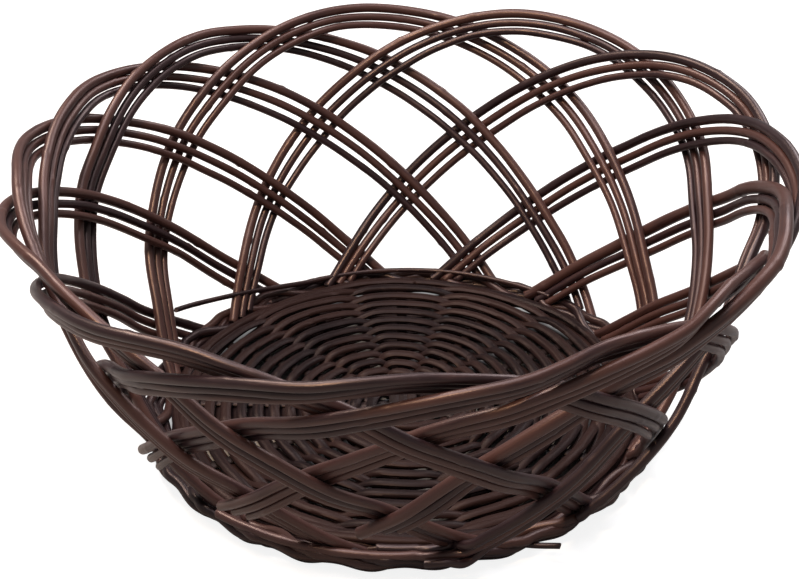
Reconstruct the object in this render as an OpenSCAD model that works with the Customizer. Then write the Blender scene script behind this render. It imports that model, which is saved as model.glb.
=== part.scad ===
// Open woven willow fruit basket. Thirteen arches of three rods each cross in a
// two-over, two-under lattice and form the scalloped rim. They rise out of a round
// woven floor, and rounds of waling bind them at the foot.
// Millimetres, +Z up, origin at the middle of the foot, on the surface it stands on.

/* [Basket] */
// Radius of the rim, at the middle rod of an average arch
rim_r = 130; // [120:1:140]
// Height of the middle rod at the top of an arch
rim_h = 99; // [90:1:110]
// Radius at which the arches enter the foot
leg_r = 84; // [80:1:86]
// How far the rim's oval stands out from a circle
oval = 3.4; // [0:0.2:5]
// How far the whole rim leans to one side
lean = 1; // [0:0.5:3]

/* [Arches] */
// Direction of the middle of the first arch's two feet, in degrees
first_arch = 198; // [190:1:206]
// How far the arches crowd together towards the front, in degrees
crowding = 7; // [0:1:8]
// How far an arch's top stands round from its feet at the front and the back, in degrees
swing = 10; // [0:1:12]
// Half the angle between the two feet of an arch, in degrees
spread = 84; // [83:1:85]
// Diameter of the outer rod of an arch
outer_d = 3.4; // [3:0.1:3.6]
// Diameter of the middle rod of an arch
middle_d = 2.9; // [2.6:0.1:3.2]
// Diameter of the inner rod of an arch
inner_d = 2.7; // [2.4:0.1:3]
// Distance between two rods of an arch where they lie close
rod_pitch = 3.3; // [3.2:0.05:3.6]
// Extra distance between them halfway up, at the back where the lattice is loosest
rod_gap = 1.5; // [0:0.1:2]
// Distance of a crossing arch from the middle of the wall
weave_amp = 1.8; // [1.75:0.05:2]

/* [Floor] */
// Diameter of the floor's sticks
stick_d = 2.8; // [2.4:0.1:3]
// Diameter of the floor's weavers
weaver_d = 2.4; // [2:0.1:2.6]
// Distance between two rounds of the floor's weave
round_pitch = 2.9; // [2.8:0.1:3.6]
// Rise of the floor towards its edge
dish = 0.5; // [0:0.5:3]
// How far the middle of the weave lies off the middle of the foot
off_middle = 5; // [0:1:6]

/* [Foot] */
// Diameter of the waling rods round the foot
wale_d = 3; // [2.6:0.1:3.2]

/* [Hidden] */
$fn = 48;
ARCHES = 13;
RODS = ["outer", "middle", "inner"];

// The right legs are cut off outside the foot, shorter towards the front: t at the sides,
// how much it changes to the front and the back, and its most
cut_end = 0.88;
cut_range = 0.12;
cut_most = 0.93;
// The right legs of these arches follow no such rule, and run on to the foot
long_legs = [5, 6, 7];
long_ends = [0.88, 0.91, 0.91];
// The two legs that change sides where they cross last: here the right one lies inside
swapped_right = 5;
swapped_left = 10;

rod_ds = [outer_d, middle_d, inner_d];
rod_sides = 6;
plan_power = 1.8;       // how squarely the wall leans out below the rim
rise_power = 1.2;       // how steeply the arches come down
left_end = -0.965;      // the end of an arch that goes into the foot, on its middle rod
end_step = 0.02;        // how much further the outer rod goes, and less the inner one
stand_off = 6;          // how far a cut end can stand off the wall
kick_start = 0.84;      // where the right legs begin to leave it
kick_length = 0.12;     // and how long they take
rim_amp = 1.35;         // how much further apart the arches cross just under the rim
oval_dir = 80;          // direction of the oval's long side
lean_dir = 20;          // direction of the rim's lean

floor_r = 80;           // the sticks' reach from the middle
stick_z = 4.3;          // height of the sticks' middle in the middle of the floor
sticks = 6;
cross_r = 5.5;          // the reach of the square where the sticks cross
fan_r = 11;             // where the sticks begin to fan out
fan_length = 11;        // how far from there they stand evenly
cross_lift = 1.5;       // half the height between crossing sticks
first_round = 14;       // radius of the first round of weaving
stick_gap = 3;          // between sticks side by side in the middle
seat = 0.05;            // gap between a weaver and a stick
weave_rounds = floor((floor_r - weaver_d / 2 - first_round) / round_pitch) + 1;

wale_r = 87.6;          // the lowest waling, outside the arches
wale_flare = 2.15;      // how far each round of waling stands outside the one below
lining_r = 81.7;        // the lowest waling, inside the arches
foot_flat = 0.3;        // depth worn flat under the foot

function arch_name(k) = str("arch_", k < 9 ? "0" : "", k + 1, "_");
ARCH_NODES = [for (k = [0 : ARCHES - 1], rod = RODS) str(arch_name(k), rod)];
STICK_NODES = [for (i = [1 : sticks]) str("floor_stick_", i)];
FLOOR_NODES = ["floor_weave_upper", "floor_weave_lower"];
FOOT_NODES = ["foot_wale_1", "foot_wale_2", "foot_wale_3", "foot_lining_1", "foot_lining_2"];

// ---- The wall ----

// An arch is followed by t, which is 0 at its top and 1 and -1 where its feet would stand.
function evenly(k) = first_arch - 360 / ARCHES * k;
function bearing(k) = evenly(k) - crowding * cos(evenly(k));
function top_swing(k) = swing * pow(sin(evenly(k)), 2);
function azimuth(k, t) = bearing(k) + top_swing(k) * (1 - t * t) - spread * t;

function rim_reach(az) = rim_r + lean * cos(az - lean_dir) + oval * cos(2 * (az - oval_dir));
function wall_r(az, t) = leg_r + (rim_reach(az) - leg_r) * (1 - pow(abs(t), plan_power));
function wall_z(t) = rim_h * pow(cos(90 * t), rise_power);
function wall_point(k, t) = let (az = azimuth(k, t), r = wall_r(az, t))
    [r * cos(az), r * sin(az), wall_z(t)];

// The wall's outward normal, from its slope in a radial plane
function wall_normal(k, t) = let (
    az = azimuth(k, t),
    a = max(abs(t), 0.05), step = 0.01,
    run = wall_r(az, a - step) - wall_r(az, a + step),
    rise = wall_z(a - step) - wall_z(a + step),
    long = norm([run, rise]))
    [rise * cos(az), rise * sin(az), -run] / long;
function unit(v) = v / norm(v);
function ramp(x, start, length) = min(1, max(0, (x - start) / length));
function along(k, t) = unit(wall_point(k, t + 0.005) - wall_point(k, t - 0.005));
// Points across the arch, away from its inside
function across(k, t) = unit(cross(along(k, t), wall_normal(k, t)));

// ---- The lattice ----

// Where arch k, coming down on its right, crosses arch k + j coming down on its left
function crossing(k, j) = let (
    m = k + j,
    between = bearing(k) - bearing(m),
    turned = top_swing(k) - top_swing(m),
    first = (between + turned) / (2 * spread))
    (between + turned * (1 - first * first)) / (2 * spread);
function crossings(k, side) = [for (j = [1 : 5]) side > 0 ? crossing(k, j) : crossing(k - j, j)];

// The right leg goes outside two arches, inside two and outside the last; the left leg
// does the opposite. Steps of [t, side of the wall] along one leg:
function leg_steps(c, end, at_last, at_end) = let (
    a = 0.3 * (c[2] - c[1]), b = 0.3 * (c[4] - c[3]),
    last = min(c[4], end - 0.03))
    [[0.45 * c[0], rim_amp], [c[0], rim_amp], [(c[0] + c[1]) / 2, rim_amp], [c[1], 1], [c[1] + a, 1],
     [c[2] - a, -1], [c[2], -1], [(c[2] + c[3]) / 2, -1], [c[3], -1], [c[3] + b, -1],
     [last - b, at_last], [last, at_last], [end, at_end]];
function right_end(k) = let (long = search(k, long_legs))
    len(long) > 0 ? long_ends[long[0]] : min(cut_most, cut_end + cut_range * sin(bearing(k) - spread));
function reversed(list) = [for (i = [len(list) - 1 : -1 : 0]) list[i]];
function arch_steps(k, place) = let (
    inside = k == swapped_right ? -1 : 1,
    right = leg_steps(crossings(k, 1), right_end(k) + place * end_step, inside, inside),
    left = leg_steps(crossings(k, -1), place * end_step - left_end, k == swapped_left ? -1 : 1, 1))
    concat([for (s = reversed(left)) [-s[0], -s[1]]], [[0, 0]], right);

function loose(k, t) = let (back = (1 + sin(azimuth(k, t))) / 2)
    rod_pitch + rod_gap * back * pow(sin(180 * abs(t)), 2);
function kick(k, t) = (k == swapped_right ? 0 : stand_off) * ramp(t, kick_start, kick_length)
    * [cos(azimuth(k, t)), sin(azimuth(k, t)), 0];

// ---- Rods ----

// A rod of several flat sides along rings, each [centre, first axis, second axis]
module rod(rings, d) {
    sides = rod_sides;
    last = len(rings) - 1;
    points = [for (g = rings, i = [0 : sides - 1])
        g[0] + d / 2 * (g[1] * cos(360 * i / sides) + g[2] * sin(360 * i / sides))];
    walls = [for (r = [0 : last - 1], i = [0 : sides - 1]) let (n = (i + 1) % sides)
        [r * sides + i, (r + 1) * sides + i, (r + 1) * sides + n, r * sides + n]];
    start = [for (i = [0 : sides - 1]) i];
    end = [for (i = [sides - 1 : -1 : 0]) last * sides + i];
    polyhedron(points, concat(walls, [start, end]), convexity = 6);
}

// One rod of an arch: place is 1 for the outer rod, 0 for the middle and -1 for the inner
module arch_rod(k, place, d) {
    rings = [for (s = arch_steps(k, place)) let (
        t = s[0], n = wall_normal(k, t), side = across(k, t),
        woven = wall_point(k, t) + n * weave_amp * s[1])
        [woven + side * place * loose(k, t) + kick(k, t), n, side]];
    color([0.22, 0.13, 0.10]) rod(rings, d);
}

// A hoop of round rod, worn flat underneath where flat is over 0
module hoop(r, z, d, flat = 0) {
    rotate_extrude() intersection() {
        translate([r, z]) circle(d = d);
        translate([r - d, z - d / 2 + flat]) square([2 * d, d]);
    }
}

// ---- The floor ----

function floor_rise(r) = dish * pow(r / floor_r, 2);
function floor_shift(r) = -off_middle * (1 - r / floor_r);

// The sticks cross three over three in the middle and fan out to even spokes. Each goes
// along its own spoke, u from -1 to 1, with a parallel stretch in the middle.
function stick_point(i, u) = let (
    group = floor(i / (sticks / 2)), j = i % (sticks / 2) - (sticks / 2 - 1) / 2,
    reach = floor_r * abs(u),
    open = ramp(reach, fan_r, fan_length),
    turn = 180 / sticks * j * open,
    x = floor_r * u * cos(turn),
    y = stick_gap * j * (1 - open) + reach * sin(turn),
    lift = cross_lift * (1 - ramp(reach, cross_r, fan_r - cross_r)),
    z = stick_z + floor_rise(reach) + (group == 0 ? -lift : lift),
    shift = floor_shift(reach))
    group == 0 ? [x, y + shift, z] : [-y, x + shift, z];

module floor_stick(i) {
    half = [for (r = [cross_r, fan_r, fan_r + fan_length / 3, fan_r + fan_length * 2 / 3,
                      fan_r + fan_length, floor_r / 2, floor_r * 3 / 4, floor_r]) r / floor_r];
    rings = [for (u = concat(-reversed(half), [0], half)) let (
        p = stick_point(i, u),
        way = unit(stick_point(i, min(1, u + 0.02)) - stick_point(i, max(-1, u - 0.02))),
        side = unit(cross([0, 0, 1], way)))
        [p, side, cross(way, side)]];
    color([0.13, 0.09, 0.08]) rod(rings, stick_d);
}

// One layer of the floor's weave, above the sticks or below them
module floor_weave(way) {
    color([0.12, 0.09, 0.08]) for (i = [0 : weave_rounds - 1]) {
        r = first_round + i * round_pitch;
        translate([0, floor_shift(r), 0])
        hoop(r, stick_z + floor_rise(r) + way * ((stick_d + weaver_d) / 2 + seat), weaver_d);
    }
}

// ---- The foot ----

module foot_wale(level) {
    color([0.20, 0.12, 0.10])
    hoop(wale_r + wale_flare * (level - 1), wale_d * (level - 0.5) - foot_flat, wale_d,
         level == 1 ? foot_flat : 0);
}

module foot_lining(level) {
    color([0.16, 0.10, 0.09])
    hoop(lining_r, wale_d * (level - 0.5) - foot_flat, wale_d, level == 1 ? foot_flat : 0);
}

for (k = [0 : ARCHES - 1], i = [0 : 2])
    arch_rod(k, 1 - i, rod_ds[i]);
for (i = [0 : sticks - 1])
    floor_stick(i);
floor_weave(1);  // floor_weave_upper
floor_weave(-1);  // floor_weave_lower
for (level = [1 : 3])
    foot_wale(level);
for (level = [1 : 2])
    foot_lining(level);
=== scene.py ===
"""The looks of a woven willow fruit basket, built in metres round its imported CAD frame.

Every rod is a swept mesh of its own. The arches, sticks and weavers follow the frame's rules for
where a rod runs, though not all of its values. Their thickness, their cut ends and the twist of the
foot are this file's own, and so is what a hand-woven rod has: small bends, buds, ridges and grain.
"""

import math

import bpy
import numpy as np
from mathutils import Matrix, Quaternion, Vector


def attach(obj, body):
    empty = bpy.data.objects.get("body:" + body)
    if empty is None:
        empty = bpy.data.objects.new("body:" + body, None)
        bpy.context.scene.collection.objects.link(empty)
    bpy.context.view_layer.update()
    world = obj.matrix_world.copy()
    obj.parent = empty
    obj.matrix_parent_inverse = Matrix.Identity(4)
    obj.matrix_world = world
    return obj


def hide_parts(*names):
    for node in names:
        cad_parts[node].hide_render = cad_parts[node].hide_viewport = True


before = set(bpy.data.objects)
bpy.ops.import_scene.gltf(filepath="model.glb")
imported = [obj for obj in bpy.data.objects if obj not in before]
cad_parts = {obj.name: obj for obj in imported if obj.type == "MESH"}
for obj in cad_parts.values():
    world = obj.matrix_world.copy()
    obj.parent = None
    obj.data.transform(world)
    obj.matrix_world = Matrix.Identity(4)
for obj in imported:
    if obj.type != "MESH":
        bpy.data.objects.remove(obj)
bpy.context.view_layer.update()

TURN = 2 * math.pi
SEED = 1607
UP = np.array([0, 0, 1])


# ---- The wall that the arches lie in, by the frame's rule ----

ARCHES = 13
RODS = ("outer", "middle", "inner")
RIM_R, RIM_H, LEG_R = 0.130, 0.099, 0.084
OVAL, OVAL_DIR = 0.0034, 80
LEAN, LEAN_DIR = 0.001, 20
PLAN_POWER, RISE_POWER = 1.8, 1.2
WEAVE_AMP, RIM_AMP = 0.0019, 1.35
LEVEL = 0.15           # how much of the way to the next crossing a rod keeps its side
TOP_SHARE = 0.45       # how far down to the first crossing a rod has left the middle of the wall
LAST_SHARE = 0.03      # the least t between a leg's last crossing and its end
LEFT_END, END_STEP = -0.965, 0.02
END_KICK, KICK_START, KICK_LENGTH = 0.005, 0.84, 0.12
SOFT_TURN = 0.002      # how softly a rod turns from its rule to the least that it may be
NORMAL_TOP, NORMAL_STEP = 0.05, 0.01    # where the wall's slope is taken at the top, and how finely

# The arches stand evenly, but crowd together towards the front, and their tops are turned round
# from their feet at the front and the back. All in degrees. SPREAD is half the angle between the
# two feet.
FIRST_ARCH, CROWDING, SWING, SPREAD = 198, 7, 10, 84
# Where the right legs are cut off, as t: shorter towards the front, but for three that run on
CUT_END, CUT_RANGE, CUT_MOST = 0.88, 0.12, 0.96
LONG_LEGS = {5: 0.96, 6: 0.905, 7: 1.00}
# Right legs that don't stand off the wall as the others do, as a share of their kick
LOW_KICK = {5: -0.2, 6: 0, 11: 0.4}
# The two legs that change sides where they cross last: the right one of the first lies inside
SWAPPED_RIGHT, SWAPPED_LEFT = 5, 10
# The arch whose right leg comes to rest along the foot, with the height and radius where it lies
RESTING = {7: (0.0106, 0.0925)}
RESTING_FROM = 0.6              # the t past which it may
RUN_ON = (0.10, 0.52, 0.0)      # how much further each of its rods runs along the foot


def evenly(k):
    return FIRST_ARCH - 360 / ARCHES * k


def bearing(k):
    """Direction of the middle of arch k's two feet, in degrees."""
    return evenly(k) - CROWDING * math.cos(math.radians(evenly(k)))


def top_swing(k):
    return SWING * math.sin(math.radians(evenly(k))) ** 2


def azimuth(k, t):
    """Direction of arch k in degrees. t is 0 at its top, 1 and -1 where its feet would stand."""
    return bearing(k) + top_swing(k) * (1 - t * t) - SPREAD * t


def right_end(k):
    cut = min(CUT_MOST, CUT_END + CUT_RANGE * math.sin(math.radians(bearing(k) - SPREAD)))
    return LONG_LEGS.get(k, cut)


def wall_r(az, t):
    lean = LEAN * np.cos(np.radians(az - LEAN_DIR))
    reach = RIM_R + lean + OVAL * np.cos(np.radians(2 * (az - OVAL_DIR)))
    return LEG_R + (reach - LEG_R) * (1 - np.abs(t) ** PLAN_POWER)


def wall_z(t):
    return RIM_H * np.cos(math.pi / 2 * np.clip(t, -1, 1)) ** RISE_POWER


def outward(az):
    """Level unit vectors in the directions az."""
    return np.stack([np.cos(np.radians(az)), np.sin(np.radians(az)), np.zeros_like(az)], -1)


def unit(v):
    return v / np.linalg.norm(v, axis=-1, keepdims=True)


def no_less(value, least, soft=SOFT_TURN):
    """The larger of the two, with a soft turn from one to the other."""
    return (value + least + np.sqrt((value - least) ** 2 + soft ** 2)) / 2


def wall_point(k, t):
    az = azimuth(k, t)
    r, z = wall_r(az, t), wall_z(t)
    if k in RESTING:
        lowest, nearest = RESTING[k]
        right = t > RESTING_FROM
        z = np.where(right, no_less(z, lowest), z)
        r = np.where(right, no_less(r, nearest), r)
    return r[:, None] * outward(az) + z[:, None] * UP


def wall_normal(k, t):
    """The wall's outward normal, from its slope in a radial plane."""
    az, a = azimuth(k, t), np.maximum(np.abs(t), NORMAL_TOP)
    run = wall_r(az, a - NORMAL_STEP) - wall_r(az, a + NORMAL_STEP)
    rise = wall_z(a - NORMAL_STEP) - wall_z(a + NORMAL_STEP)
    return unit(rise[:, None] * outward(az) - run[:, None] * UP)


def crossing(k, j):
    """Where arch k, coming down on its right, crosses arch k + j coming down on its left."""
    m = k + j
    between = bearing(k) - bearing(m)
    turned = top_swing(k) - top_swing(m)
    first = (between + turned) / (2 * SPREAD)
    return (between + turned * (1 - first * first)) / (2 * SPREAD)


def leg_steps(c, end, at_last=1, at_end=1):
    """Steps of (t, side of the wall) down a leg: outside two arches, inside two, outside one."""
    a, b = LEVEL * (c[2] - c[1]), LEVEL * (c[4] - c[3])
    last = min(c[4], end - LAST_SHARE)
    return [(TOP_SHARE * c[0], RIM_AMP), (c[0], RIM_AMP), ((c[0] + c[1]) / 2, RIM_AMP),
            (c[1], 1), (c[1] + a, 1), (c[2] - a, -1), (c[2], -1), (c[3], -1), (c[3] + b, -1),
            (last - b, at_last), (last, at_last), (end, at_end)]


def arch_steps(k, first, last):
    inside = -1 if k == SWAPPED_RIGHT else 1
    right = leg_steps([crossing(k, j) for j in range(1, 6)], last, inside, inside)
    inside = -1 if k == SWAPPED_LEFT else 1
    left = leg_steps([crossing(k - j, j) for j in range(1, 6)], -first, inside)
    return [(-t, -side) for t, side in reversed(left)] + [(0, 0)] + right


def eased(x, steps):
    """The second value of each step at x, turning smoothly from one step to the next."""
    xs, values = np.array(steps, float).T
    i = np.clip(np.searchsorted(xs, x, side="right") - 1, 0, len(xs) - 2)
    u = np.clip((x - xs[i]) / (xs[i + 1] - xs[i]), 0, 1)
    return values[i] + (values[i + 1] - values[i]) * u * u * (3 - 2 * u)


def softened(values, spread):
    """Values along a line, each averaged with its neighbours. spread is in places along it."""
    reach = np.arange(-3 * spread, 3 * spread + 1)
    weight = np.exp(-(reach / spread) ** 2 / 2)
    padded = np.pad(values, 3 * spread, mode="reflect", reflect_type="odd")
    return np.convolve(padded, weight / weight.sum(), mode="valid")


def ramp(x, start, length):
    return np.clip((x - start) / length, 0, 1)


# ---- Rods ----

BUD_GAP = 0.042        # usual distance between two buds on a rod
BUD_SPACING = (0.6, 1.6)    # the least and the most of it, as a share
BUD_LENGTH = 0.0011    # half the length of the swelling at a bud
BUD_RING = 0.04        # height of the swelling all round, as a share of the rod's radius
BUD_HEIGHT = 0.13      # height of the bud on it, as a share of the rod's radius
BUD_POINT = 3          # how narrow a bud is round the rod
RIDGE = 0.010          # height of the ridges round a rod, as a share of its radius
RIDGES = ((2, 1), (3, 0.6), (5, 0.4))   # how many go round, and their share of that height
RIDGE_TURN, RIDGE_LENGTH = 2.2, 0.1     # they turn round the rod by this angle in this length
SWELL, SWELL_LENGTH = 0.02, 0.08        # how unevenly thick a rod is, and over what length
WAVE, WAVES = 0.75, (1, 2, 3, 5)        # the size and the numbers of the waves in a random line
# The rings of a cut end, as shares of the radius: how wide, and how far ahead of the rod. They are
# the bevel, the edge of the pith and the hollow in it.
CUT_RINGS = ((0.86, 0.16), (0.4, 0.13), (0.12, 0.02))
CUT_SLANT = (0.1, 0.35)     # the least and the most slant of a cut end
SHARP = math.radians(50)    # edges with a sharper angle than this stay sharp
GRAIN_SHIFT = 5             # the most by which a rod's grain is moved along it, in metres


def wander(s, longest, rng):
    """A smooth random line along s, of about unit size."""
    return sum(rng.normal(0, WAVE / n) * np.sin(TURN * n * s / longest + rng.uniform(0, TURN))
               for n in WAVES)


def length_along(line):
    return np.concatenate([[0], np.cumsum(np.linalg.norm(np.diff(line, axis=0), axis=1))])


def rod_shape(s, angle, rng):
    """How far a rod's surface is from its middle at each s and angle, as a share of its radius."""
    turned = angle[None, :] + RIDGE_TURN * s[:, None] / RIDGE_LENGTH
    shape = 1 + RIDGE * sum(share * np.sin(count * turned + rng.uniform(0, TURN))
                            for count, share in RIDGES)
    shape += SWELL * wander(s, SWELL_LENGTH, rng)[:, None]
    at = rng.uniform(0, BUD_GAP)
    while at < s[-1]:
        near = np.exp(-((s - at) / BUD_LENGTH) ** 2)[:, None]
        facing = np.clip(np.cos(angle - rng.uniform(0, TURN)), 0, 1) ** BUD_POINT
        shape += near * (BUD_RING + BUD_HEIGHT * facing[None, :])
        at += BUD_GAP * rng.uniform(*BUD_SPACING)
    return shape


def cut_end(middle, ring, grain, way, radius, angle, rng):
    """The rings of a slightly slanting cut end, and their grain. radius is below 0 at a rod's
    start, where the end faces back along it."""
    slant = rng.uniform(*CUT_SLANT) * np.cos(angle - rng.uniform(0, TURN))
    rings, grains = [], []
    for share, ahead in CUT_RINGS:
        lift = radius * (ahead + slant * share)
        rings.append(middle + share * (ring - middle) + lift[:, None] * way)
        grains.append(np.stack([grain[:, 0] * share, grain[:, 1] * share, grain[:, 2] + lift], -1))
    return rings, grains


def tube_faces(count, sides):
    """The faces between the rings of a tube, and one on each end."""
    ring, side = np.meshgrid(np.arange(count - 1), np.arange(sides), indexing="ij")
    after = (side + 1) % sides
    quads = np.stack([ring * sides + side, ring * sides + after, (ring + 1) * sides + after,
                      (ring + 1) * sides + side], -1).reshape(-1, 4)
    start, last = list(range(sides))[::-1], [(count - 1) * sides + i for i in range(sides)]
    return quads.tolist() + [start, last]


def add_attribute(mesh, name, kind, field, values):
    data = mesh.attributes.new(name, kind, "POINT").data
    data.foreach_set(field, values.astype(np.float32).ravel())


def rod_mesh(name, line, radius, up, tone, rng, sides=14, squeeze=1):
    """A rod swept along line. radius is one value or one for each point, and up says which way its
    section's first axis points. squeeze widens it across that axis. tone is the rod's own shade."""
    s = length_along(line)
    way = unit(np.gradient(line, axis=0))
    up = np.broadcast_to(np.asarray(up, float), line.shape)
    first = unit(up - (up * way).sum(1, keepdims=True) * way)
    second = np.cross(way, first)
    angle = TURN * np.arange(sides) / sides
    reach = np.broadcast_to(radius, (len(line),))[:, None] * rod_shape(s, angle, rng)
    x, y = reach * np.cos(angle), reach * np.sin(angle) * squeeze
    rings = line[:, None, :] + x[..., None] * first[:, None, :] + y[..., None] * second[:, None, :]
    grain = np.stack([x, y, np.broadcast_to(s[:, None], x.shape)], -1)

    start, start_grain = cut_end(line[0], rings[0], grain[0], way[0], -reach[0].mean(), angle, rng)
    last, last_grain = cut_end(line[-1], rings[-1], grain[-1], way[-1], reach[-1].mean(), angle, rng)
    points = np.concatenate([*start[::-1], *rings, *last])
    grains = np.concatenate([*start_grain[::-1], *grain, *last_grain])
    grains[:, 2] += rng.uniform(0, GRAIN_SHIFT)
    count, ends = len(line) + 2 * len(CUT_RINGS), len(CUT_RINGS)
    cut = np.zeros((count, sides))
    cut[:ends], cut[-ends:] = 1, 1

    mesh = bpy.data.meshes.new(name)
    mesh.from_pydata(points.tolist(), [], tube_faces(count, sides))
    mesh.validate()
    mesh.shade_smooth()
    mesh.set_sharp_from_angle(angle=SHARP)
    add_attribute(mesh, "grain", "FLOAT_VECTOR", "vector", grains)
    add_attribute(mesh, "cut", "FLOAT", "value", cut)
    add_attribute(mesh, "tone", "FLOAT", "value", np.full(count * sides, tone))
    piece = bpy.data.objects.new(name, mesh)
    bpy.context.scene.collection.objects.link(piece)
    return piece


def settle(piece, material, slot, *nodes):
    """Gives a piece its material and its place in the frame."""
    piece.data.materials.append(material)
    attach(piece, "root")
    if nodes:
        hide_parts(*nodes)


def number_seed(*numbers):
    return np.random.default_rng([SEED, *numbers])


# ---- Willow ----

# Noises along a rod: how fine across it, how much longer than wide, its detail and roughness
STREAKS = (1500, 14, 5, 0.6)
PATCHES = (130, 5, 3, 0.6)
FIBRE = (5200, 30, 3, 0.6)
NICKS = (900, 2.2, 4, 0.7)
STREAK_SHADE, PATCH_SHADE, TONE_SHADE = 0.5, 0.8, 0.45  # what each adds to the shade
SHADES = (0.45, 0.75, 1.0)                              # the shade of dark, middle and light
NICK_EDGE, NICK_COVER, NICK_COLOUR = 0.03, 0.55, (0.30, 0.20, 0.15)
CUT_COVER, CUT_COLOUR = 0.75, (0.085, 0.062, 0.06)
STREAK_ROUGH, CUT_ROUGH = 0.30, 0.25                    # what each adds to the roughness
STREAK_HEIGHT, FIBRE_HEIGHT, NICK_DEPTH = 0.7, 0.3, 0.3
BUMP_STRENGTH, BUMP_DISTANCE = 0.28, 0.0003
SHINE_TINT = (1, 0.79, 0.74, 1)
SHEEN, SHEEN_ROUGH, SHEEN_TINT = 0.05, 0.4, (0.75, 0.62, 0.70, 1)


def willow(name, dark, middle, light, rough, pale_flecks, shine):
    """Stained willow: long streaks, pale nicks, and a satin finish.
    The grain attribute is the place on the straight rod, so the grain runs along every bend."""
    material = bpy.data.materials.new(name)
    material.use_nodes = True
    nodes, links = material.node_tree.nodes, material.node_tree.links
    nodes.clear()
    output = nodes.new("ShaderNodeOutputMaterial")
    shader = nodes.new("ShaderNodeBsdfPrincipled")
    links.new(shader.outputs["BSDF"], output.inputs["Surface"])

    def attribute(attribute_name):
        node = nodes.new("ShaderNodeAttribute")
        node.attribute_name = attribute_name
        return node.outputs

    def math_node(operation, a, b, clamp=False):
        node = nodes.new("ShaderNodeMath")
        node.operation = operation
        node.use_clamp = clamp
        for socket, value in zip(node.inputs, (a, b)):
            if isinstance(value, (int, float)):
                socket.default_value = value
            else:
                links.new(value, socket)
        return node.outputs[0]

    def share(socket, amount):
        return math_node("MULTIPLY", socket, amount)

    def noise(scale, stretch, detail, roughness):
        """Noise along the rod. stretch is how much longer it is than wide."""
        mapping = nodes.new("ShaderNodeMapping")
        mapping.inputs["Scale"].default_value = (scale, scale, scale / stretch)
        links.new(grain, mapping.inputs["Vector"])
        node = nodes.new("ShaderNodeTexNoise")
        node.inputs["Scale"].default_value = 1
        node.inputs["Detail"].default_value = detail
        node.inputs["Roughness"].default_value = roughness
        links.new(mapping.outputs["Vector"], node.inputs["Vector"])
        return node.outputs["Fac"]

    def ramp_node(factor, stops):
        node = nodes.new("ShaderNodeValToRGB")
        elements = node.color_ramp.elements
        while len(elements) < len(stops):
            elements.new(0.5)
        for element, (place, colour) in zip(elements, stops):
            element.position = place
            element.color = (*colour, 1)
        links.new(factor, node.inputs["Fac"])
        return node.outputs["Color"]

    def covered(colour, factor, cover):
        """The colour, with the colour of cover over it by factor."""
        node = nodes.new("ShaderNodeMix")
        node.data_type = "RGBA"
        links.new(factor, node.inputs[0])
        links.new(colour, node.inputs[6])
        node.inputs[7].default_value = (*cover, 1)
        return node.outputs[2]

    grain = attribute("grain")["Vector"]
    tone = attribute("tone")["Fac"]
    cut = attribute("cut")["Fac"]
    streaks, patches, fibre, nicks = (noise(*kind) for kind in (STREAKS, PATCHES, FIBRE, NICKS))

    shade = math_node("ADD", share(streaks, STREAK_SHADE), share(patches, PATCH_SHADE))
    shade = math_node("ADD", shade, share(tone, TONE_SHADE))
    fleck = ramp_node(nicks, [(pale_flecks, (0, 0, 0)), (pale_flecks + NICK_EDGE, (1, 1, 1))])
    colour = ramp_node(shade, list(zip(SHADES, (dark, middle, light))))
    colour = covered(colour, share(fleck, NICK_COVER), NICK_COLOUR)
    colour = covered(colour, share(cut, CUT_COVER), CUT_COLOUR)
    links.new(colour, shader.inputs["Base Color"])

    uneven = math_node("ADD", share(streaks, STREAK_ROUGH), rough)
    uneven = math_node("ADD", uneven, share(cut, CUT_ROUGH), True)
    links.new(uneven, shader.inputs["Roughness"])

    height = math_node("ADD", share(streaks, STREAK_HEIGHT), share(fibre, FIBRE_HEIGHT))
    height = math_node("SUBTRACT", height, share(fleck, NICK_DEPTH))
    bump = nodes.new("ShaderNodeBump")
    bump.inputs["Strength"].default_value = BUMP_STRENGTH
    bump.inputs["Distance"].default_value = BUMP_DISTANCE
    links.new(height, bump.inputs["Height"])
    links.new(bump.outputs["Normal"], shader.inputs["Normal"])

    shader.inputs["Specular IOR Level"].default_value = shine
    shader.inputs["Specular Tint"].default_value = SHINE_TINT
    shader.inputs["Sheen Weight"].default_value = SHEEN
    shader.inputs["Sheen Roughness"].default_value = SHEEN_ROUGH
    shader.inputs["Sheen Tint"].default_value = SHEEN_TINT
    return material


ARCH_WILLOW = willow(
    "arch_willow", dark=(0.0080, 0.0041, 0.0056), middle=(0.021, 0.0100, 0.0126),
    light=(0.066, 0.029, 0.024), rough=0.19, pale_flecks=0.70, shine=0.62)
# The sticks and the floor's weavers are darker copies of the arches' willow: painted shade on the floor
# inside the basket.
STICK_WILLOW = willow(
    "stick_willow", dark=(0.003, 0.0021, 0.0025), middle=(0.007, 0.0044, 0.0048),
    light=(0.016, 0.0090, 0.0085), rough=0.30, pale_flecks=0.72, shine=0.25)
FLOOR_WILLOW = willow(
    "floor_willow", dark=(0.0040, 0.0028, 0.0034), middle=(0.0085, 0.0052, 0.0060),
    light=(0.024, 0.0125, 0.0112), rough=0.24, pale_flecks=0.71, shine=0.12)
# The foot's willow is a darker copy of the arches' too: painted shade low down round the foot.
FOOT_WILLOW = willow(
    "foot_willow", dark=(0.0060, 0.0033, 0.0044), middle=(0.015, 0.0074, 0.0090),
    light=(0.048, 0.022, 0.0180), rough=0.20, pale_flecks=0.71, shine=0.50)


# ---- The arches ----

# Diameters at the front, and at the back and the sides, where the rods are thicker
FRONT_D = (0.0031, 0.0028, 0.0027)
BACK_D = (0.0036, 0.0031, 0.0029)
STOUT = {"arch_09_outer": 1.25}
ROD_TOUCH = 0.00012    # gap between rods that lie close
ROD_GAP = 0.0016       # the most that they part, halfway up at the back
UNEVEN_CUT = 0.012     # how far a cut end can be off its place, as t
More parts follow.
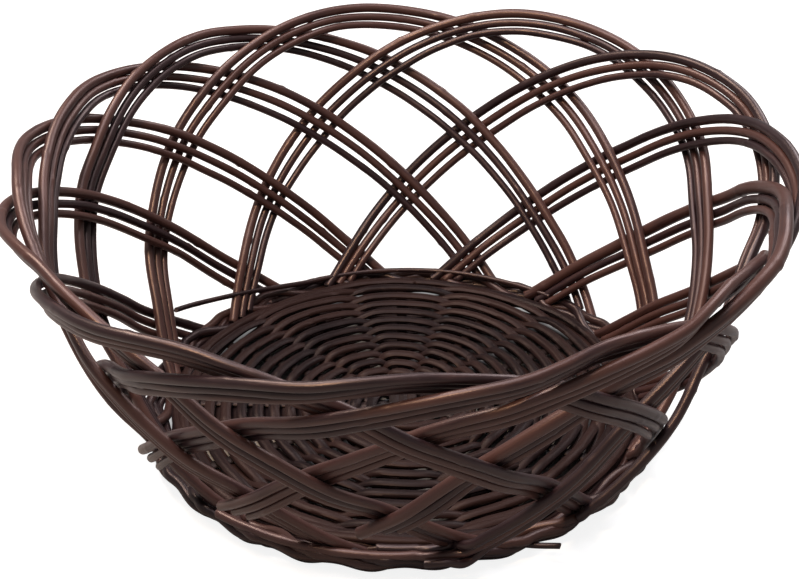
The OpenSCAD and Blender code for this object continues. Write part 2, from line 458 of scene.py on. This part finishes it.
# A leg that ends past this t is less uneven, by this share of what the others are
LONG_LEG, LONG_SHARE = 0.95, 0.2
FRAY = 0.0012          # how far the cut ends part
FRAY_OUTER, FRAY_INNER = (0.1, 1), (0.3, 1.6)   # the least and the most of it on each side
FRAY_START, FRAY_LENGTH = 0.72, 0.2
LYING_START, LYING_LENGTH = 0.87, 0.08  # where the resting leg turns to lie flat on the foot
# Small bends out of the wall and along it: how far, and over what length
BEND_OUT, BEND_OUT_LENGTH = 0.00012, 0.09
BEND_SIDE, BEND_SIDE_LENGTH = 0.00016, 0.11
CLEAR = 0.0011         # the least height of a leg over the ground
ARCH_RINGS = 320
SOFT_STEPS = 5         # rings over which a rod turns from one side of the wall to the other


def arch_rods(k):
    """The three rods of an arch, side by side. place is 1 for the outer one and -1 for the inner."""
    rng = number_seed(1, k)
    name = f"arch_{k + 1:02d}"
    rods = []
    for i, rod in enumerate(RODS):
        place = 1 - i
        uneven = 1 if right_end(k) < LONG_LEG else LONG_SHARE
        last = right_end(k) + uneven * (place * END_STEP + rng.uniform(-UNEVEN_CUT, UNEVEN_CUT))
        last += RUN_ON[i] if k in RESTING else 0
        steps = arch_steps(k, LEFT_END - place * END_STEP, last)
        t = np.linspace(steps[0][0], steps[-1][0], ARCH_RINGS)
        rods.append((rod, place, t, softened(eased(t, steps), SOFT_STEPS)))
    fray = {1: rng.uniform(*FRAY_OUTER) * FRAY, 0: 0, -1: -rng.uniform(*FRAY_INNER) * FRAY}
    for i, (rod, place, t, side) in enumerate(rods):
        rng = number_seed(2, k, i)
        az = azimuth(k, t)
        back = (1 + np.sin(np.radians(az))) / 2
        thick = np.maximum(back, np.abs(np.cos(np.radians(az))))
        d = [(FRONT_D[n] + (BACK_D[n] - FRONT_D[n]) * thick) * STOUT.get(f"{name}_{r}", 1)
             for n, r in enumerate(RODS)]
        gap = ROD_TOUCH + ROD_GAP * back * np.sin(math.pi * np.abs(t)) ** 2
        offset = {1: (d[0] + d[1]) / 2 + gap, 0: 0 * t, -1: -(d[1] + d[2]) / 2 - gap}[place]
        offset = offset + fray[place] * ramp(t, FRAY_START, FRAY_LENGTH)
        normal = wall_normal(k, t)
        base = wall_point(k, t)
        across = unit(np.cross(unit(np.gradient(base, axis=0)), normal))
        if k in RESTING:
            lying = ramp(t, LYING_START, LYING_LENGTH)[:, None]
            across = unit((1 - lying) * across - lying * outward(az))
        s = length_along(base)
        bend = BEND_OUT * wander(s, BEND_OUT_LENGTH, rng)
        line = base + normal * (WEAVE_AMP * side + bend)[:, None]
        bend = BEND_SIDE * wander(s, BEND_SIDE_LENGTH, rng)
        line += across * (offset + bend)[:, None]
        if k not in RESTING:
            kick = LOW_KICK.get(k, 1) * END_KICK * (1 - back) * ramp(t, KICK_START, KICK_LENGTH)
            line += kick[:, None] * outward(az)
        line[:, 2] = no_less(line[:, 2], d[i] / 2 + CLEAR, CLEAR)
        tone = rng.uniform(0, 1)
        piece = rod_mesh(f"{name}_rod_{rod}", line, d[i] / 2, normal, tone, rng, sides=16)
        settle(piece, ARCH_WILLOW, "arch_willow", f"{name}_{rod}")


for k in range(ARCHES):
    arch_rods(k)


# ---- The floor ----

FLOOR_R = 0.080
STICK_Z, DISH, OFF_MIDDLE = 0.0043, -0.0005, 0.005
STICKS = 6
STICK_HIGH, STICK_WIDE = 0.0014, 0.0038
STICK_RINGS = 161
WEAVER_HIGH, WEAVER_WIDE = 0.0022, 0.0038
CROSS_R, FAN_R, FAN_LENGTH = 0.0055, 0.011, 0.011
CROSS_LIFT, STICK_GAP = 0.0015, 0.003
FIRST_ROUND, ROUND_PITCH = 0.014, 0.0029
OVER = 0.0017          # height of a weaver's middle over a stick's


def floor_z(r):
    return STICK_Z + DISH * (r / FLOOR_R) ** 2


def floor_shift(r):
    return -OFF_MIDDLE * (1 - r / FLOOR_R)


def stick_line(i):
    """Stick i through the cross in the middle, from edge to edge, by the frame's rule."""
    group, j = divmod(i, STICKS // 2)
    j -= (STICKS // 2 - 1) / 2
    u = np.linspace(-1, 1, STICK_RINGS)
    reach = FLOOR_R * np.abs(u)
    opening = ramp(reach, FAN_R, FAN_LENGTH)
    turn = math.pi / STICKS * j * opening
    x = FLOOR_R * u * np.cos(turn)
    y = STICK_GAP * j * (1 - opening) + reach * np.sin(turn)
    lift = CROSS_LIFT * (1 - ramp(reach, CROSS_R, FAN_R - CROSS_R))
    z = floor_z(reach) + (lift if group else -lift)
    shift = floor_shift(reach)
    return np.stack([-y, x + shift, z] if group else [x, y + shift, z], -1)


for i in range(STICKS):
    rng = number_seed(3, i)
    tone = rng.uniform(0, 1)
    piece = rod_mesh(f"stick_{i + 1}", stick_line(i), STICK_HIGH / 2, UP, tone, rng, sides=12,
                     squeeze=STICK_WIDE / STICK_HIGH)
    settle(piece, STICK_WILLOW, "stick_willow", f"floor_stick_{i + 1}")

WEAVE_NODES = ("floor_weave_upper", "floor_weave_lower")
SPOKES = 2 * STICKS
CROSS_ARMS = 4         # the groups of sticks that the first turn binds, over one and under the next
FIRST_TURN = -0.95     # where the weavers start, round the cross. They reach the spokes at 0
WEAVER_STEP = 0.0011   # distance between two rings of a weaver
WEAVER_TURNS = 1.9     # how far round one weaver reaches before the next is laid in
WEAVER_SHARES = (0.75, 1.15)    # the least and the most of that
SHORTEST = 0.1         # no weaver is laid in for less than this part of a turn
TRIAL_RINGS = 400      # places to a turn by which a weaver's length is taken
FLAT_TOP = 2.2         # how long a weaver stays up over a stick before it dives
SIDESTEP = 0.0006      # how far it swings to the side between two sticks
LAST_R = 0.0812        # the last round lies on the lining, against the arches
OVER_LINING = 0.8      # and is lifted onto it by this share
WEAVER_BEND, WEAVER_BEND_LENGTH = 0.00015, 0.06     # its small bends up and down
WEAVER_SWELL, WEAVER_SWELL_LENGTH = 0.06, 0.3       # its unevenness in thickness
LAST_TURN = (LAST_R - FIRST_ROUND - ROUND_PITCH) / (2 * ROUND_PITCH) + 1.03     # once more round


def round_r(pair, turns):
    """Radius of a weaver of the pair. The last rounds go straight round, beside each other."""
    return np.minimum(FIRST_ROUND + 2 * ROUND_PITCH * turns + ROUND_PITCH * pair,
                      LAST_R - ROUND_PITCH * (1 - pair))


def weaver_line(pair, first, last):
    """A weaver of the pair from turn first to turn last, over one stick and under the next."""
    turns = np.linspace(first, last, int((last - first) * TRIAL_RINGS))
    count = int(np.sum(np.diff(turns) * TURN * round_r(pair, turns)[:-1]) / WEAVER_STEP)
    turns = np.linspace(first, last, count)
    middle = round_r(pair, turns)
    phase = np.where(turns < 0, CROSS_ARMS / 2, SPOKES / 2) * TURN * turns + math.pi * pair
    up = np.tanh(FLAT_TOP * np.cos(phase)) / math.tanh(FLAT_TOP)
    over_lining = ramp(middle, FLOOR_R - WEAVER_WIDE, WEAVER_WIDE)
    up = up + (1 - up) * OVER_LINING * over_lining
    r = middle + SIDESTEP * np.sin(phase)
    angle = TURN * turns
    z = floor_z(r) + OVER * up
    return np.stack([r * np.cos(angle), r * np.sin(angle) + floor_shift(r), z], -1)


weaver = 0
for pair, node in enumerate(WEAVE_NODES):
    first = FIRST_TURN
    while first < LAST_TURN - SHORTEST:
        weaver += 1
        rng = number_seed(4, weaver)
        last = min(first + WEAVER_TURNS * rng.uniform(*WEAVER_SHARES), LAST_TURN)
        line = weaver_line(pair, first, last)
        s = length_along(line)
        line[:, 2] += WEAVER_BEND * wander(s, WEAVER_BEND_LENGTH, rng)
        radius = WEAVER_HIGH / 2 * (1 + WEAVER_SWELL * wander(s, WEAVER_SWELL_LENGTH, rng))
        tone = rng.uniform(0, 1)
        piece = rod_mesh(f"floor_weaver_{weaver:02d}", line, radius, UP, tone, rng, sides=10,
                         squeeze=WEAVER_WIDE / WEAVER_HIGH)
        nodes = [node] if first == FIRST_TURN else []
        settle(piece, FLOOR_WILLOW, "floor_willow", *nodes)
        first = last


# ---- The foot ----

WALE_D = 0.0034
WALE_LOW, WALE_HIGH = 0.0021, 0.0074
WALE_R, WALE_FLARE = 0.0876, 0.0043
BACK_DROP = 0.0028     # the foot is this much lower at the back
BACK_FLARE = 0.0018    # and flares this much less there
# It stands out at the front by this much, in this direction from it, and over a narrow stretch
FRONT_SWELL, SWELL_DIR, SWELL_POWER = 0.0018, 0.25, 9
WALE_IN = 0.0845
BUMPS = 26             # bulges round the foot
STRANDS = 4            # rods that lie side by side: two, which each go twice round
BUMP = 0.0009
# Steps of a waling rod in one cycle: its share of the way inside, and of the way up
WALE_INSIDE = ((0, 0.25), (0.08, 0), (0.5, 0), (0.75, 1), (0.8, 1), (1, 0.25))
WALE_RISE = ((0, 1), (0.02, 1), (0.5, 0), (0.74, 0), (1, 1))
WALE_RINGS = 90        # rings in one cycle
WALE_CYCLES = 2 * BUMPS // STRANDS
WALE_START, WALE_JOIN = 0.78, 7.78      # the cycles where a waling rod starts, and where the next does
WALE_SWELL, WALE_SWELL_LENGTH = 0.05, 0.25
WALE_NODES = (("foot_wale_1",), ("foot_wale_2",), ("foot_wale_3",), ())


def wale_line(strand, first, last):
    """A waling rod from cycle first to last: in from the top, down outside two bulges, and in."""
    cycle = np.linspace(first, last, int((last - first) * WALE_RINGS))
    angle = TURN * (cycle - strand / STRANDS) / (BUMPS / STRANDS)
    inside = eased(cycle % 1, WALE_INSIDE)
    z = eased(cycle % 1, WALE_RISE)
    back = ((1 + np.sin(angle)) / 2) ** 2
    swell = FRONT_SWELL * ((1 - np.sin(angle + SWELL_DIR)) / 2) ** SWELL_POWER
    out = WALE_R + swell + (WALE_FLARE - BACK_FLARE * back) * z + BUMP * np.cos(BUMPS * angle)
    z = WALE_LOW + (WALE_HIGH - BACK_DROP * back - WALE_LOW) * z
    r = out + (WALE_IN - out) * inside
    return np.stack([r * np.cos(angle), r * np.sin(angle), z], -1)


for strand in (0, 1):
    stretches = ((WALE_START, WALE_JOIN), (WALE_JOIN, WALE_CYCLES + WALE_START))
    for part, (first, last) in enumerate(stretches):
        rng = number_seed(5, strand, part)
        line = wale_line(strand, first, last)
        s = length_along(line)
        radius = WALE_D / 2 * (1 + WALE_SWELL * wander(s, WALE_SWELL_LENGTH, rng))
        number = 2 * strand + part
        piece = rod_mesh(f"wale_rod_{number + 1}", line, radius, UP, rng.uniform(0, 1), rng)
        settle(piece, FOOT_WILLOW, "foot_willow", *WALE_NODES[number])

LINING_R, LINING_D, LINING_Z = 0.0817, 0.0028, 0.0027
LINING_TWIST, LINING_SWAY = 0.0012, 0.3     # how far the two go up and down, and a share of it sideways
LINING_RINGS = 620

for strand in (0, 1):
    rng = number_seed(6, strand)
    angle = np.linspace(0, TURN, LINING_RINGS)
    twist = BUMPS / 2 * angle + math.pi * strand
    r = LINING_R + LINING_SWAY * LINING_TWIST * np.cos(twist)
    z = LINING_Z + LINING_TWIST * np.sin(twist)
    line = np.stack([r * np.cos(angle), r * np.sin(angle), z], -1)
    tone = rng.uniform(0, 1)
    piece = rod_mesh(f"lining_rod_{strand + 1}", line, LINING_D / 2, UP, tone, rng, sides=12)
    settle(piece, FOOT_WILLOW, "foot_willow", f"foot_lining_{strand + 1}")

# Stray ends: a thin twig that comes down the wall and lies along the back of the foot, and an end
# that sticks out of the foot at the front
STRAY_D = 0.0020
STRAY_BEND, STRAY_BEND_LENGTH = 0.0006, 0.08
TWIG_FROM, TWIG_TO, TWIG_RINGS = math.radians(156), math.radians(48), 90
TWIG_CLIMB_AT, TWIG_CLIMB = math.radians(115), math.radians(41)     # it climbs past here
TWIG_CLIMB_POWER = 1.5
TWIG_R, TWIG_OUT = 0.087, 0.006
TWIG_Z, TWIG_UP = 0.0074, 0.0125
FRONT_END_FROM, FRONT_END_TO, FRONT_END_RINGS = (0.032, -0.082, 0.0045), (0.049, -0.084, 0.005), 12

turn = np.linspace(TWIG_FROM, TWIG_TO, TWIG_RINGS)
climb = ramp(turn, TWIG_CLIMB_AT, TWIG_CLIMB) ** TWIG_CLIMB_POWER
twig_r = TWIG_R + TWIG_OUT * climb
twig = np.stack([twig_r * np.cos(turn), twig_r * np.sin(turn), TWIG_Z + TWIG_UP * climb], -1)
front_end = np.linspace(FRONT_END_FROM, FRONT_END_TO, FRONT_END_RINGS)
for i, line in enumerate((twig, front_end)):
    rng = number_seed(7, i)
    line = line + STRAY_BEND * wander(length_along(line), STRAY_BEND_LENGTH, rng)[:, None] * UP
    tone = rng.uniform(0, 1)
    piece = rod_mesh(f"stray_end_{i + 1}", line, STRAY_D / 2, UP, tone, rng, sides=10)
    settle(piece, FOOT_WILLOW, "foot_willow")


# ---- Camera ----

CAMERA_PLACE = (0, -0.4801, 0.3362)
CAMERA_AIM = (-0.0007, 0, 0.0501)
CAMERA_ROLL = math.radians(-0.82)
CAMERA_LENS, CAMERA_SENSOR = 72.61, 36      # in millimetres

camera = bpy.data.objects.new("camera", bpy.data.cameras.new("camera"))
bpy.context.scene.collection.objects.link(camera)
camera.location = CAMERA_PLACE
camera.rotation_mode = "QUATERNION"
looking = (Vector(CAMERA_AIM) - camera.location).to_track_quat("-Z", "Y")
camera.rotation_quaternion = looking @ Quaternion((0, 0, 1), CAMERA_ROLL)
camera.data.sensor_width = CAMERA_SENSOR
camera.data.lens = CAMERA_LENS
camera.data.clip_start = 0.01
bpy.context.scene.camera = camera


# ---- Studio ----

# Each light's name, place, target, size, power and colour
LIGHTS = (
    ("overhead", (-0.15, 0.10, 1.2), (0, 0, 0.03), 0.9, 10, (0.97, 0.93, 1.0)),
    ("left", (-0.45, 0.45, 0.95), (0, 0, 0.05), 0.35, 6, (1, 0.82, 0.68)),
    ("front", (-0.32, -0.42, 1.0), (0, -0.12, 0.08), 0.14, 5.5, (1, 0.70, 0.44)),
    ("right", (0.50, 0.75, 0.75), (0, 0, 0.05), 0.5, 4, (1, 0.92, 0.95)),
)
WORLD_LIGHT = 0.27
PAPER_REACH = 3        # half the width of the paper that the basket stands on
PAPER_GREY, PAPER_ROUGH = 0.35, 0.9
# The paper glows white for the camera, from nothing under the basket to the full past its foot
# It is painted light: it hides the basket's shadow on the paper past the foot, and under the basket the
# paper keeps its shade.
GLOW_START, GLOW_FULL, GLOW = 0.078, 0.088, 0.85
WHITE = (1, 1, 1, 1)


def area_light(name, place, target, size, power, colour):
    light = bpy.data.objects.new(name, bpy.data.lights.new(name, "AREA"))
    bpy.context.scene.collection.objects.link(light)
    light.location = place
    light.rotation_mode = "QUATERNION"
    light.rotation_quaternion = (Vector(target) - Vector(place)).to_track_quat("-Z", "Y")
    light.data.size = size
    light.data.energy = power
    light.data.color = colour


def paper_material():
    material = bpy.data.materials.new("paper")
    material.use_nodes = True
    nodes, links = material.node_tree.nodes, material.node_tree.links
    shader = nodes["Principled BSDF"]
    shader.inputs["Base Color"].default_value = (PAPER_GREY, PAPER_GREY, PAPER_GREY, 1)
    shader.inputs["Roughness"].default_value = PAPER_ROUGH
    shader.inputs["Emission Color"].default_value = WHITE
    seen = nodes.new("ShaderNodeLightPath")
    place = nodes.new("ShaderNodeNewGeometry")
    reach = nodes.new("ShaderNodeVectorMath")
    reach.operation = "LENGTH"
    links.new(place.outputs["Position"], reach.inputs[0])
    # painted light: the paper glows for the camera only past the basket's foot, over its shadow there
    painted_light_past_foot = nodes.new("ShaderNodeMapRange")
    for socket, value in (("From Min", GLOW_START), ("From Max", GLOW_FULL), ("To Max", GLOW)):
        painted_light_past_foot.inputs[socket].default_value = value
    links.new(reach.outputs["Value"], painted_light_past_foot.inputs["Value"])
    glow = nodes.new("ShaderNodeMath")
    glow.operation = "MULTIPLY"
    links.new(seen.outputs["Is Camera Ray"], glow.inputs[0])
    links.new(painted_light_past_foot.outputs["Result"], glow.inputs[1])
    links.new(glow.outputs[0], shader.inputs["Emission Strength"])
    return material


for light in LIGHTS:
    area_light(*light)

world = bpy.data.worlds.new("studio")
bpy.context.scene.world = world
world.use_nodes = True
world.node_tree.nodes["Background"].inputs["Color"].default_value = WHITE
world.node_tree.nodes["Background"].inputs["Strength"].default_value = WORLD_LIGHT
bpy.context.scene.view_settings.view_transform = "Standard"

floor_mesh = bpy.data.meshes.new("studio_floor")
corners = [(PAPER_REACH * x, PAPER_REACH * y, 0) for x, y in ((-1, -1), (1, -1), (1, 1), (-1, 1))]
floor_mesh.from_pydata(corners, [], [(0, 1, 2, 3)])
floor_mesh.materials.append(paper_material())
studio_floor = bpy.data.objects.new("studio_floor", floor_mesh)
bpy.context.scene.collection.objects.link(studio_floor)
